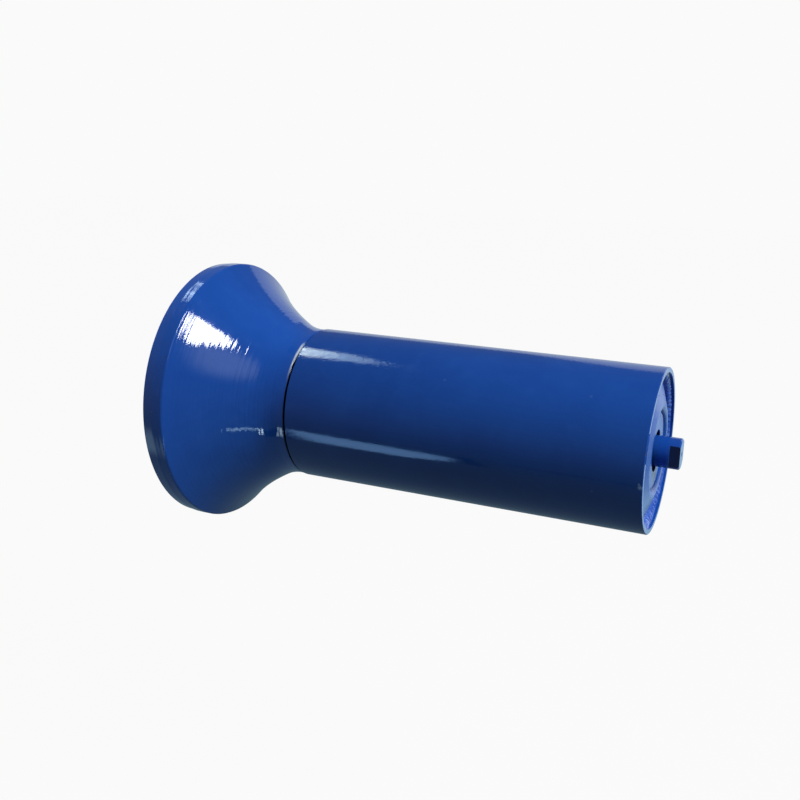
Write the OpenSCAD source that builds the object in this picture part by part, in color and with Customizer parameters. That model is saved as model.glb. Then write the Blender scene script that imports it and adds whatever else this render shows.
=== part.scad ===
// Flared conveyor roller: a steel tube roller and a separate bell-mouthed guide wheel that
// turn side by side, each on two sealed ball bearings, on one fixed shaft with milled flats.
// The shaft lies along X with the plain end at +X. The origin is the middle of the shaft.

/* [Shaft] */
// Diameter of the shaft in the bearings and at its ends
shaft_d = 25; // [20:0.5:30]
// Height of the shoulder that the tube's two bearings stand against
shaft_shoulder = 2.5; // [1.5:0.1:4]
// Length of shaft that stands out past each end of the roller
shaft_stub = 17; // [12:1:60]
// Distance between the two flats at each end
flat_width = 18; // [12:0.5:22]
// Length of each flat from the tip of the shaft
flat_length = 8; // [4:0.5:11]
// Chamfer round each tip of the shaft
shaft_chamfer = 1; // [0.3:0.1:2]
// Diameter of the centre drilling in each tip
centre_drill_d = 4; // [2:0.5:8]

/* [Tube] */
// Outside diameter of the tube
tube_d = 133; // [114:1:150]
// Wall of the tube
tube_wall = 4; // [3:0.5:8]
// Length of the tube
tube_length = 302; // [120:1:800]
// Chamfer on the outer edges of the tube and of the bell's small end
edge_chamfer = 0.5; // [0.2:0.1:1.5]

/* [Bell] */
// Air gap between the tube and the bell
seam_gap = 1.5; // [1:0.1:6]
// Length of the bell
bell_length = 105.5; // [95:0.5:120]
// Step down in radius from the tube to the bell's small end
collar_step = 0.8; // [0:0.1:4]
// Length of the straight collar at the small end
collar_length = 5; // [2:0.5:10]
// Radius of the sharper curve that leads out of the collar
throat_radius = 50; // [30:1:60]
// Angle that the face has turned through at the end of that curve
throat_angle = 28.6; // [15:0.1:32]
// Largest diameter of the bell, round its rim
bell_rim_d = 236.6; // [225:0.2:300]
// Width of the rim behind the flared face
rim_width = 18.8; // [16:0.2:24]
// Width of the cylindrical part of the rim, up to its faint ridge
rim_flat = 10.3; // [6:0.1:14]
// How far the radius falls from the ridge to the back of the rim
rim_draft = 0.9; // [0.3:0.1:3]
// Bevel between the flared face and the rim
rim_bevel = 0.8; // [0.3:0.1:2]
// Wall of the flared face
bell_wall = 5; // [4:0.5:7]
// Wall of the rim
rim_wall = 8; // [6:0.5:12]

/* [Housings] */
// Depth of the housings' hubs below the ends of the tube and of the bell
hub_depth = 0.5; // [0.5:0.25:4]
// How far the face of each housing falls back from its hub to its rim
plate_drop = 7; // [5.5:0.25:9]
// Thickness of the pressed bearing housings
housing_wall = 3.5; // [3:0.25:4]
// Outside radius of the bends at the rim and at the bottom of each housing
housing_bend = 4.5; // [4.1:0.1:5]
// Outside radius of the bend round each hub
hub_bend = 5.5; // [4.1:0.1:6.5]
// Length of each housing's rim along the wall that it is welded to
housing_lip = 12; // [8:1:20]
// Gap between the shaft and the hole in the bottom of each housing
housing_gap = 7; // [4:0.5:12]
// Thickness of the disc that closes the back of the bell
disc_thickness = 6; // [4:0.5:8]
// Height of the fillet welds
weld_leg = 5.5; // [3:0.1:6]

/* [Bearings] */
// Outside diameter of each bearing
bearing_d = 62; // [58:0.5:72]
// Width of each bearing
bearing_width = 17; // [15:0.5:20]
// Diameter of the balls
ball_d = 11.5; // [9:0.25:12.5]
// Balls in each bearing
ball_count = 7; // [6:1:8]
// Radial play between each ball and its grooves
ball_play = 0.03; // [0.02:0.01:0.1]
// Radial play between the cage and the rings
cage_play = 0.8; // [0.4:0.1:1.2]
// Play between each ball and its pocket in the cage
pocket_play = 0.15; // [0.1:0.05:0.3]
// Chamfer on the corners of the rings
ring_chamfer = 1.1; // [0.5:0.1:1.5]

/* [Seals] */
// Length of the labyrinth seal outside each bearing
labyrinth_length = 8; // [7:0.5:11]
// Thickness of the seals' webs and fins
fin = 1.2; // [0.8:0.1:1.4]
// Concentric fins on each half of the labyrinth
fin_count = 3; // [1:1:3]
// Running clearance along the shaft in the seals
seal_play = 0.5; // [0.3:0.1:0.8]
// Length of the grease retainer inside each bearing
retainer_length = 5; // [4:0.5:7]

/* [Dust covers and retaining rings] */
// Thickness of the pressed dust covers
cover_wall = 1.2; // [0.8:0.1:1.5]
// Outside radius of the bend in the dust covers
cover_bend = 1.8; // [1.6:0.1:2.2]
// Depth of each dust cover below the hub of its housing
cover_depth = 2.2; // [1:0.1:4]
// Gap between the shaft and the hole in each dust cover
cover_gap = 4.5; // [1:0.1:6]
// Air between each dust cover and the retaining ring behind it
cover_air = 2.2; // [1.2:0.1:3]
// Thickness of the retaining rings
circlip_thickness = 1.2; // [1:0.1:2]
// Height of the retaining rings above the shaft
circlip_height = 2.6; // [2:0.1:3.5]
// Depth of the retaining rings' grooves
groove_depth = 0.55; // [0.4:0.05:1]

/* [Hidden] */
$fn = 96;

STATIONS = ["plain_end", "tube_seam", "bell_seam", "bell_end"];
OUTER_STATIONS = ["plain_end", "bell_end"];

shaft_r = shaft_d / 2;
core_r = shaft_r + shaft_shoulder;
tube_r = tube_d / 2;
tube_bore_r = tube_r - tube_wall;
collar_r = tube_r - collar_step;
collar_bore_r = collar_r - bell_wall;
rim_r = bell_rim_d / 2;
rim_bore_r = rim_r - rim_wall;
bearing_r = bearing_d / 2;
ball_r = ball_d / 2;

// Places along X
plain_end_x = (tube_length + seam_gap + bell_length) / 2;
tube_seam_x = plain_end_x - tube_length;
bell_seam_x = tube_seam_x - seam_gap;
bell_end_x = bell_seam_x - bell_length;
shaft_end = plain_end_x + shaft_stub;

// Depths below the hub of a housing, towards the inside of the roller
circlip_at = cover_depth + cover_wall + cover_air;
labyrinth_at = circlip_at + circlip_thickness;
bearing_at = labyrinth_at + labyrinth_length;
retainer_at = bearing_at + bearing_width;
cup_depth = retainer_at + retainer_length;

// Bearing: the grooves are a little rounder than the balls, and the rings leave room for the cage
pitch_r = (shaft_r + bearing_r) / 2;
groove_r = ball_r * 1.04;
inner_ring_r = pitch_r - ball_r * 0.6;
outer_ring_r = pitch_r + ball_r * 0.6;
groove_offset = ball_r + ball_play - groove_r;
cage_back = 1;

// A station is one bearing with all that belongs to it. The hub of its housing is depth 0, and
// the depth grows towards the middle of the tube or of the bell.
function inward(s) = s == "plain_end" || s == "bell_seam" ? -1 : 1;
function end_x(s) =
    s == "plain_end" ? plain_end_x :
    s == "tube_seam" ? tube_seam_x :
    s == "bell_seam" ? bell_seam_x :
    bell_end_x;
function depth_x(s, depth) = end_x(s) + inward(s) * (hub_depth + depth);

// Radius of the wall that holds each housing. The disc's hole takes the same housing as the tube.
function seat_r(s) = s == "bell_seam" ? collar_bore_r : tube_bore_r;

// A revolved piece about X, drawn as radius across and X upwards
module turned() rotate([0, 90, 0]) rotate_extrude() children();

// A station's own frame, with the depth along Z, and a revolved piece in it
module at_station(s)
    translate([depth_x(s, 0), 0, 0]) rotate([0, 90 * inward(s), 0]) children();
module turned_at(s) at_station(s) rotate_extrude() children();

// A plain ring's section
module ring_2d(inner, outer, from, to) translate([inner, from]) square([outer - inner, to - from]);

// A bend in sheet, round a centre, from one direction to another
module bend_2d(centre, from, to, outer, thickness) translate(centre) intersection() {
    difference() {
        circle(r = outer);
        circle(r = outer - thickness);
    }
    polygon(concat([[0, 0]], [for (a = [from, (from + to) / 2, to]) 2 * outer * [cos(a), sin(a)]]));
}

// ---- The shaft and what stays still with it

module shaft_flats(side)
    for (y = [-1, 1])
        translate([side * (shaft_end - flat_length / 2), y * (flat_width + shaft_d) / 2, 0])
            cube([flat_length, shaft_d, 2 * shaft_d], center = true);

// A 60 degree countersink with a pilot hole
module centre_drilling(side)
    translate([side * shaft_end, 0, 0]) rotate([0, -90 * side, 0]) {
        cylinder(h = centre_drill_d / 2 * sqrt(3), d1 = centre_drill_d, d2 = 0);
        cylinder(h = centre_drill_d * 1.5, d = centre_drill_d / 2);
    }

module shaft() color("royalblue") {
    core_from = depth_x("tube_seam", retainer_at);
    core_to = depth_x("plain_end", retainer_at);
    difference() {
        turned() polygon([
            [0, -shaft_end], [shaft_r - shaft_chamfer, -shaft_end],
            [shaft_r, -shaft_end + shaft_chamfer], [shaft_r, core_from],
            [core_r, core_from], [core_r, core_to],
            [shaft_r, core_to], [shaft_r, shaft_end - shaft_chamfer],
            [shaft_r - shaft_chamfer, shaft_end], [0, shaft_end]]);
        for (side = [-1, 1]) {
            shaft_flats(side);
            centre_drilling(side);
        }
        for (s = OUTER_STATIONS)
            turned_at(s) ring_2d(shaft_r - groove_depth, shaft_d, circlip_at, labyrinth_at);
    }
}

// Sleeve between the labyrinths on either side of the seam
module middle_spacer() color("silver") turned()
    ring_2d(shaft_r, core_r, depth_x("bell_seam", labyrinth_at), depth_x("tube_seam", labyrinth_at));

// Sleeve between the bell's two bearings
module bell_spacer() color("silver") turned()
    ring_2d(shaft_r, core_r, depth_x("bell_end", retainer_at), depth_x("bell_seam", retainer_at));

// Open ring with an eye at each tip for the pliers
module circlip_eyes(r) {
    eye_at = shaft_r + circlip_height * 0.9;
    for (side = [-14, 14]) rotate(side) translate([eye_at, 0]) circle(r = r);
}

module circlip(s) color("dimgray") at_station(s) translate([0, 0, circlip_at])
    linear_extrude(circlip_thickness) difference() {
        union() {
            circle(r = shaft_r + circlip_height);
            circlip_eyes(circlip_height * 0.9);
        }
        circle(r = shaft_r - groove_depth);
        circlip_eyes(circlip_height * 0.45);
        polygon(concat([[0, 0]], [for (a = [-6, 6]) shaft_d * [cos(a), sin(a)]]));
    }

// ---- The tube and the bell

module tube() color("royalblue") turned() polygon([
    [tube_bore_r, tube_seam_x], [tube_r - edge_chamfer, tube_seam_x],
    [tube_r, tube_seam_x + edge_chamfer], [tube_r, plain_end_x - edge_chamfer],
    [tube_r - edge_chamfer, plain_end_x], [tube_bore_r, plain_end_x]]);

// The bell's face runs straight along the collar, turns through the throat, and opens on one
// long arc that ends at the front edge of the rim. Both arcs are centred in the air outside the
// face, where one meets the other without a kink. Depth is measured from the small end.
rim_corner = [rim_r, bell_length - rim_width];
throat_centre = [collar_r + throat_radius, collar_length];
throat_end = throat_centre + throat_radius * [-cos(throat_angle), sin(throat_angle)];
chord = rim_corner - throat_end;
flare_angle = 2 * atan2(chord[0], chord[1]) - throat_angle;
flare_radius = norm(chord) / (2 * sin((flare_angle - throat_angle) / 2));
flare_centre = throat_end + flare_radius * [cos(throat_angle), -sin(throat_angle)];

// Depth at which the inside of the flare reaches the bore of the rim
bore_from = flare_centre[1]
    + sqrt(pow(flare_radius + bell_wall, 2) - pow(flare_centre[0] - rim_bore_r, 2));

// A wall bent on an arc, between two angles measured from the plane of the small end. It laps
// the wall before it by a tenth of a degree, so that the two are one.
module arc_wall_2d(centre, radius, from, to) intersection() {
    translate(centre) difference() {
        circle(r = radius + bell_wall, $fn = 720);
        circle(r = radius, $fn = 720);
    }
    polygon(concat([centre],
        [for (a = [from - 0.1, to]) centre + 2 * (radius + bell_wall) * [-cos(a), sin(a)]]));
}

module bell_2d() difference() {
    union() {
        polygon([
            [collar_bore_r, 0], [collar_r - edge_chamfer, 0], [collar_r, edge_chamfer],
            [collar_r, collar_length], [collar_bore_r, collar_length]]);
        arc_wall_2d(throat_centre, throat_radius, 0, throat_angle);
        arc_wall_2d(flare_centre, flare_radius, throat_angle, flare_angle);
        polygon([
            rim_corner, rim_corner + [0, rim_flat], [rim_r - rim_draft, bell_length],
            [rim_bore_r, bell_length], [rim_bore_r, bore_from - bell_wall / 2]]);
    }
    polygon([
        rim_corner - rim_bevel * [sin(flare_angle), cos(flare_angle)],
        rim_corner + rim_bevel * [0, 1], rim_corner + rim_bevel * [1, -1]]);
}

module bell() color("royalblue")
    translate([bell_seam_x, 0, 0]) rotate([0, -90, 0]) rotate_extrude() bell_2d();

module bell_disc() color("royalblue") turned_at("bell_end")
    ring_2d(seat_r("bell_end"), rim_bore_r, plate_drop, plate_drop + disc_thickness);

// ---- Housings and their welds

// The face of a housing is a shallow cone between two bends: one round the hub, and one at the
// rim, where the face meets the wall that stands round it.
hub_centre = [bearing_r + hub_bend, hub_bend];
function rim_centre(s) = [seat_r(s) - housing_bend, plate_drop + housing_bend];
function face_angle(s) =
    let (run = rim_centre(s) - hub_centre)
    atan2(run[1], run[0]) + asin((hub_bend - housing_bend) / norm(run));

// Degrees by which each bend laps the cone beside it, so that the two are one
face_lap = 1;

// The cone's wall, from its face inwards
module cone_2d(s, thickness) {
    out = [sin(face_angle(s)), -cos(face_angle(s))];
    polygon([
        hub_centre + hub_bend * out, rim_centre(s) + housing_bend * out,
        rim_centre(s) + (housing_bend - thickness) * out, hub_centre + (hub_bend - thickness) * out]);
}

// One pressing: a rim along the wall, the face, and a deep cup that holds the bearing
module housing(s) color("cornflowerblue") turned_at(s) {
    rim_out = seat_r(s);
    cup_out = bearing_r + housing_wall;
    cup_end = cup_depth + housing_wall;
    bend = housing_bend;
    ring_2d(rim_out - housing_wall, rim_out, plate_drop + bend, plate_drop + housing_lip);
    bend_2d(rim_centre(s), face_angle(s) - 90 - face_lap, 0, bend, housing_wall);
    cone_2d(s, housing_wall);
    bend_2d(hub_centre, 180, 270 + face_angle(s) + face_lap, hub_bend, housing_wall);
    ring_2d(bearing_r, cup_out, hub_bend, cup_end - bend);
    bend_2d([cup_out - bend, cup_end - bend], 0, 90, bend, housing_wall);
    ring_2d(core_r + housing_gap, cup_out - bend, cup_depth, cup_end);
}

// Fillet in the corner between a face and the wall that stands round it
module fillet_2d(wall_r) translate([wall_r, plate_drop]) intersection() {
    circle(r = weld_leg);
    translate([-weld_leg, -weld_leg]) square(weld_leg);
}

// Low crown over the joint between two faces that are level
module crown_2d(joint_r) translate([joint_r - housing_bend / 4, plate_drop]) {
    height = weld_leg * 0.4;
    half = weld_leg * 0.9;
    radius = (pow(height, 2) + pow(half, 2)) / (2 * height);
    intersection() {
        translate([0, radius - height]) circle(r = radius);
        translate([-half, -height]) square([2 * half, height]);
    }
}

module bell_disc_weld() color("royalblue") turned_at("bell_end") fillet_2d(rim_bore_r);

// The bead also fills the groove between the housing's bent rim and the wall
module housing_weld(s) color("royalblue") turned_at(s) difference() {
    union() {
        translate([seat_r(s) - housing_bend, plate_drop]) square([housing_bend, housing_bend * 0.8]);
        if (s == "bell_end") crown_2d(seat_r(s));
        else fillet_2d(seat_r(s));
    }
    translate(rim_centre(s)) circle(r = housing_bend);
    cone_2d(s, housing_bend);
}

// ---- Dust covers

module dust_cover(s) color("cornflowerblue") turned_at(s) {
    bend_at = [bearing_r - cover_bend, cover_depth + cover_bend];
    ring_2d(shaft_r + cover_gap, bend_at[0], cover_depth, cover_depth + cover_wall);
    bend_2d(bend_at, -90, 0, cover_bend, cover_wall);
    ring_2d(bearing_r - cover_wall, bearing_r, bend_at[1], labyrinth_at);
}

// ---- Bearings

module ring(s, inner, outer, groove_at) color("silver")
    at_station(s) translate([0, 0, bearing_at]) rotate_extrude() difference() {
        polygon([
            [inner, ring_chamfer], [inner + ring_chamfer, 0], [outer - ring_chamfer, 0],
            [outer, ring_chamfer], [outer, bearing_width - ring_chamfer],
            [outer - ring_chamfer, bearing_width], [inner + ring_chamfer, bearing_width],
            [inner, bearing_width - ring_chamfer]]);
        translate([groove_at, bearing_width / 2]) circle(r = groove_r);
    }

module inner_ring(s) ring(s, shaft_r, inner_ring_r, pitch_r - groove_offset);
module outer_ring(s) ring(s, outer_ring_r, bearing_r, pitch_r + groove_offset);

module ball_row(s, r) at_station(s) translate([0, 0, bearing_at + bearing_width / 2])
    for (i = [0:ball_count - 1])
        rotate(360 * i / ball_count) translate([pitch_r, 0, 0]) sphere(r = r);

module balls(s) color("silver") ball_row(s, ball_r);

// Crown cage: a moulded ring whose pockets are open towards the inside of the roller
module cage(s) color("ivory") difference() {
    turned_at(s) ring_2d(inner_ring_r + cage_play, outer_ring_r - cage_play,
        bearing_at + cage_back, bearing_at + bearing_width / 2 + ball_r * 0.35);
    ball_row(s, ball_r + pocket_play);
}

// ---- Seals

// Keeps the grease in: a rim in the cup, a web, and a lip along the shaft
module grease_retainer(s) color("dimgray") turned_at(s) {
    rim = 2 * fin;
    corner = housing_bend - housing_wall;
    lip = core_r + seal_play;
    polygon([
        [bearing_r - rim, retainer_at], [bearing_r, retainer_at],
        [bearing_r, cup_depth - corner], [bearing_r - corner, cup_depth],
        [bearing_r - rim, cup_depth]]);
    ring_2d(lip, bearing_r - rim, retainer_at + fin, retainer_at + 2 * fin);
    ring_2d(lip, lip + fin, retainer_at + 2 * fin, cup_depth - seal_play);
}

// The two halves of the labyrinth mesh fin between fin across the running clearance
fins_from = core_r + fin;
fin_pitch = (bearing_r - 2 * fin - fins_from) / (fin_count + 0.5);
turning_web_at = labyrinth_at + seal_play;
fixed_web_at = bearing_at - seal_play - fin;

module fins_2d(first_r, from, to)
    for (i = [0:fin_count - 1])
        ring_2d(first_r + fin_pitch * i, first_r + fin_pitch * i + fin, from, to);

module fixed_labyrinth(s) color("dimgray") turned_at(s) {
    first = fins_from + fin_pitch / 2;
    ring_2d(shaft_r, core_r, labyrinth_at, bearing_at);
    ring_2d(core_r, first + fin_pitch * (fin_count - 1) + fin, fixed_web_at, fixed_web_at + fin);
    fins_2d(first, turning_web_at + fin + seal_play, fixed_web_at);
}

module turning_labyrinth(s) color("dimgray") turned_at(s) {
    ring_2d(bearing_r - fin, bearing_r, turning_web_at, bearing_at);
    ring_2d(fins_from, bearing_r - fin, turning_web_at, turning_web_at + fin);
    fins_2d(fins_from, turning_web_at + fin, fixed_web_at - seal_play);
}

// ---- What is drawn

shaft();
middle_spacer();
bell_spacer();
tube();
bell();
bell_disc();
bell_disc_weld();
for (s = STATIONS) {
    housing(s);
    housing_weld(s);
    inner_ring(s);
    outer_ring(s);
    balls(s);
    cage(s);
    grease_retainer(s);
    fixed_labyrinth(s);
    turning_labyrinth(s);
}
for (s = OUTER_STATIONS) {
    dust_cover(s);
    circlip(s);
}
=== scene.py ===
import math
import bmesh
import bpy
from mathutils import Matrix, Vector


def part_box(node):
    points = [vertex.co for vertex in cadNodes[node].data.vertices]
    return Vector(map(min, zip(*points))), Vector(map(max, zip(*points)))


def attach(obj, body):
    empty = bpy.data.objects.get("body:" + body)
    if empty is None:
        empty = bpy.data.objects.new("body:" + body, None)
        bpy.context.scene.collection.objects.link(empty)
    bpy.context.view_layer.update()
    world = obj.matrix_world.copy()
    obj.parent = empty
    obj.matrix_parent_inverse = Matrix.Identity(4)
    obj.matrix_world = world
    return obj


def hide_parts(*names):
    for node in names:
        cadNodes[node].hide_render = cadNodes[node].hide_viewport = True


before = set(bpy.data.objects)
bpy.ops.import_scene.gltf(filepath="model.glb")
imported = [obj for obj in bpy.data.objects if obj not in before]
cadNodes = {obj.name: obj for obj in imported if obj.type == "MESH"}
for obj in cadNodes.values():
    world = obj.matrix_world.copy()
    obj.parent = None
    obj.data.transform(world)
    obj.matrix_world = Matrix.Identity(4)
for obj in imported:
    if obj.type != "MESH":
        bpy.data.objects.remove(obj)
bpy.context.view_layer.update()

print("frame loaded:", len(cadNodes), "nodes")

fullTurn = 2 * math.pi
sharpFold = math.radians(35)    # a fold sharper than this stays an edge
mergeWithin = 0.000001          # where the last ring of a turned shape meets the first
stations = ["plain_end", "tube_seam", "bell_seam", "bell_end"]
outerStations = ["plain_end", "bell_end"]


def placed(name, data):
    item = bpy.data.objects.new(name, data)
    bpy.context.scene.collection.objects.link(item)
    return item


def emptyTree(owner):
    # the node tree of a material or of the world, cleared
    owner.use_nodes = True
    owner.node_tree.nodes.clear()
    return owner.node_tree


# ---- Node trees written as sums

class Wire:
    # a socket that takes part in sums, so that a * 2 + b adds its Math nodes
    def __init__(self, sheet, socket):
        self.sheet = sheet
        self.socket = socket

    def __add__(self, other):
        return self.sheet.sum("ADD", self, other)

    def __radd__(self, other):
        return self.sheet.sum("ADD", other, self)

    def __sub__(self, other):
        return self.sheet.sum("SUBTRACT", self, other)

    def __rsub__(self, other):
        return self.sheet.sum("SUBTRACT", other, self)

    def __mul__(self, other):
        return self.sheet.sum("MULTIPLY", self, other)

    def __rmul__(self, other):
        return self.sheet.sum("MULTIPLY", other, self)

    def __truediv__(self, other):
        return self.sheet.sum("DIVIDE", self, other)


class Sheet:
    # one node tree, of a material, the world or a Geometry Nodes group
    def __init__(self, tree):
        self.tree = tree

    def add(self, kind, sockets=None, settings=None, out=0):
        node = self.tree.nodes.new(kind)
        for name, value in (settings or {}).items():
            setattr(node, name, value)
        for name, value in (sockets or {}).items():
            if isinstance(value, Wire):
                self.tree.links.new(value.socket, node.inputs[name])
            else:
                node.inputs[name].default_value = value
        return Wire(self, node.outputs[out]) if len(node.outputs) else None

    def sum(self, operation, *values):
        return self.add("ShaderNodeMath", dict(enumerate(values)), {"operation": operation})

    def between(self, value, low, high):
        # 0 below low, 1 above high, smooth on the way; low may be the larger one
        sockets = {"Value": value, "From Min": low, "From Max": high, "To Min": 0.0, "To Max": 1.0}
        return self.add("ShaderNodeMapRange", sockets, {"interpolation_type": "SMOOTHSTEP"})

    def vector(self, x, y, z):
        return self.add("ShaderNodeCombineXYZ", {0: x, 1: y, 2: z})

    def split(self, vector):
        node = self.tree.nodes.new("ShaderNodeSeparateXYZ")
        self.tree.links.new(vector.socket, node.inputs[0])
        return [Wire(self, socket) for socket in node.outputs]

    def shifted(self, vector, by):
        return self.add("ShaderNodeVectorMath", {0: vector, 1: by}, {"operation": "ADD"})

    def divided(self, vector, by):
        return self.add("ShaderNodeVectorMath", {0: vector, 1: by}, {"operation": "DIVIDE"})

    def distance(self, start, end):
        return self.add("ShaderNodeVectorMath", {0: start, 1: end}, {"operation": "DISTANCE"}, "Value")

    def mixed(self, share, under, over):
        # colours, which a Math node would turn grey
        settings = {"data_type": "RGBA", "clamp_factor": True}
        return self.add("ShaderNodeMix", {0: share, 6: under, 7: over}, settings, 2)

    def noise(self, vector, size=1.0, detail=2.0, rough=0.6, twist=0.0):
        # size is the width of one blot, in metres, or 1 where the place is already in widths
        sockets = {"Vector": vector, "Scale": 1.0 / size, "Detail": detail, "Roughness": rough,
                   "Distortion": twist}
        return self.add("ShaderNodeTexNoise", sockets)


class Shape(Sheet):
    # a Geometry Nodes tree with named inputs, worked on the points of a section
    def __init__(self, name, sizes):
        self.name = name
        super().__init__(bpy.data.node_groups.new(name + "Tree", "GeometryNodeTree"))
        face = self.tree.interface
        face.new_socket("Section", in_out="INPUT", socket_type="NodeSocketGeometry")
        self.sizes = {}
        for label, value in sizes.items():
            kind = "NodeSocketInt" if isinstance(value, int) else "NodeSocketFloat"
            self.sizes[face.new_socket(label, in_out="INPUT", socket_type=kind).identifier] = value
        face.new_socket("Geometry", in_out="OUTPUT", socket_type="NodeSocketGeometry")
        entry = self.tree.nodes.new("NodeGroupInput")
        self.given = {socket.name: Wire(self, socket) for socket in entry.outputs if socket.name}

    def sampled(self, value, row):
        # what the section holds at a row; half a step more makes the whole number safe
        sockets = {"Geometry": self.given["Section"], "Value": value, "Index": row + 0.5}
        return self.add("GeometryNodeSampleIndex", sockets, {"data_type": "FLOAT_VECTOR"})

    def turnedRound(self, relief):
        # the closed section carried round the X axis; relief gives a height along the normal
        section, steps = self.given["Section"], self.given["Steps"]
        sockets = {"Geometry": section}
        count = self.add("GeometryNodeAttributeDomainSize", sockets, out="Point Count")
        rows = count + 1
        sockets = {"Size X": 1.0, "Size Y": 1.0, "Vertices X": steps + 1, "Vertices Y": rows}
        grid = self.add("GeometryNodeMeshGrid", sockets)
        index = self.add("GeometryNodeInputIndex")
        ring = self.sum("FLOOR", (index + 0.5) / rows)
        row = self.sum("MODULO", index - ring * rows, count)
        angle = self.sum("MODULO", ring, steps) / steps * fullTurn
        x, radius, place = self.split(self.sampled(self.add("GeometryNodeInputPosition"), row))
        settings = {"data_type": "FLOAT_VECTOR"}
        named = self.add("GeometryNodeInputNamedAttribute", {"Name": "outward"}, settings)
        outX, outRadius, weight = self.split(self.sampled(named, row))
        across, up = self.sum("COSINE", angle), self.sum("SINE", angle)
        height = relief(self, self.vector(x, radius * across, radius * up), place, angle) * weight
        radius = radius + outRadius * height
        spot = self.vector(x + outX * height, radius * across, radius * up)
        shape = self.add("GeometryNodeSetPosition", {"Geometry": grid, "Position": spot})
        return self.add("GeometryNodeMergeByDistance", {"Geometry": shape, "Distance": mergeWithin})

    def joined(self, *shapes):
        node = self.tree.nodes.new("GeometryNodeJoinGeometry")
        for shape in reversed(shapes):
            self.tree.links.new(shape.socket, node.inputs[0])
        return Wire(self, node.outputs[0])

    def piece(self, section, shape, material):
        # section: rows of x, radius, place along the face, then the normal and the relief's share
        shape = self.add("GeometryNodeRealizeInstances", {"Geometry": shape})
        shape = self.add("GeometryNodeSetMaterial", {"Geometry": shape, "Material": material})
        self.tree.links.new(shape.socket, self.tree.nodes.new("NodeGroupOutput").inputs[0])
        base = bpy.data.meshes.new(self.name + "Section")
        base.from_pydata([row[:3] for row in section], [], [])
        outward = base.attributes.new("outward", "FLOAT_VECTOR", "POINT")
        for entry, row in zip(outward.data, section):
            entry.vector = row[3:]
        item = placed(self.name, base)
        modifier = item.modifiers.new("shape", "NODES")
        modifier.node_group = self.tree
        for identifier, value in self.sizes.items():
            modifier[identifier] = value
        ready = item.evaluated_get(bpy.context.evaluated_depsgraph_get())
        mesh = bpy.data.meshes.new_from_object(ready)
        item.modifiers.clear()
        item.data = mesh
        edit = bmesh.new()
        edit.from_mesh(mesh)
        if edit.calc_volume(signed=True) < 0:
            bmesh.ops.reverse_faces(edit, faces=edit.faces)
        loose = sum(not edge.is_manifold for edge in edit.edges)
        edit.to_mesh(mesh)
        edit.free()
        mesh.shade_smooth()
        mesh.set_sharp_from_angle(angle=sharpFold)
        print(self.name, "has", len(mesh.polygons), "faces and", loose, "open edges")
        return item


def colour(red, green, blue):
    # a display colour from 0 to 255, brought by the sRGB curve to the linear value that nodes take
    def linear(value):
        value = value / 255
        return value / 12.92 if value <= 0.04045 else ((value + 0.055) / 1.055) ** 2.4
    return (linear(red), linear(green), linear(blue), 1.0)


def grey(value):
    return (value, value, value, 1.0)


# ---- Camera

cameraLook = {
    "azimuth": 24.26,       # degrees, from looking along +Y
    "elevation": 18.0,
    "distance": 0.8395,
    "target": (-0.0180, -0.0032, 0.0135),
    "lens": 43.45,
    "sensor": 36.0,
    "near": 0.01,           # nothing closer than this is drawn
}


def makeCamera(look):
    data = bpy.data.cameras.new("camera")
    data.lens = look["lens"]
    data.sensor_width = look["sensor"]
    data.clip_start = look["near"]
    camera = placed("camera", data)
    turn = math.radians(look["azimuth"])
    rise = math.radians(look["elevation"])
    back = Vector((math.sin(turn) * math.cos(rise), -math.cos(turn) * math.cos(rise), math.sin(rise)))
    camera.location = Vector(look["target"]) + back * look["distance"]
    camera.rotation_euler = (-back).to_track_quat("-Z", "Y").to_euler()
    bpy.context.scene.camera = camera


makeCamera(cameraLook)


# ---- Studio: soft light from above, panels that only show as reflections, and a pale floor

studioLook = {
    "floorDrop": 0.42,          # from the axis down to the floor
    "floorSize": 9.0,
    "floorGlow": 0.951,
    "floorGrey": 0.012,         # what the floor takes of the lamps' light
    "white": 0.956,             # what the camera sees past the floor
    "fill": 0.085,              # light from all round
    "front": 0.14,              # what the enamel mirrors: in front, overhead, below
    "top": 0.11,
    "under": 0.24,
    "left": 0.30,
    "topFade": (0.0, 0.75),     # where each of them begins and is whole, along its direction
    "underFade": (-0.1, -0.8),
    "leftFade": (-0.35, -0.85),
    "tint": (0.84, 0.93, 1.0, 1.0),
    "lowTint": (0.50, 0.80, 1.0, 1.0),
    "lowTintFade": (0.0, -0.5),
    "backdrop": 0.68,           # low bright wall behind the roller
    "backdropRight": 1.60,      # its brighter right-hand part
    "backdropTop": 0.215,       # height of its upper edge, as the z of a direction
    "backdropStep": 0.155,      # how much taller it is on the right, and the slope of its edge there
    "backdropSlope": -0.80,
    "backdropFoot": -0.40,      # its lower edge on the left, and how much lower it is on the right
    "backdropDrop": -0.35,
    "backdropFade": (0.35, 0.75),
    "backdropStepFade": (-0.30, -0.14),
    "backdropSlopeEnd": 0.05,
    "backdropRightFade": (0.0, 0.35),
    "backdropBlur": 0.012,
    "backdropFootBlur": 0.10,
}

# soft bright places of the room: direction, radius and strength, for reflections only
glows = {
    "side": ((0.587, -0.492, 0.643), 0.38, 1.3),
    "rimLow": ((-0.70, -0.51, -0.50), 0.22, 1.1),
}
glowCore = 0.3                  # share of the radius that is as bright as it gets

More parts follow.
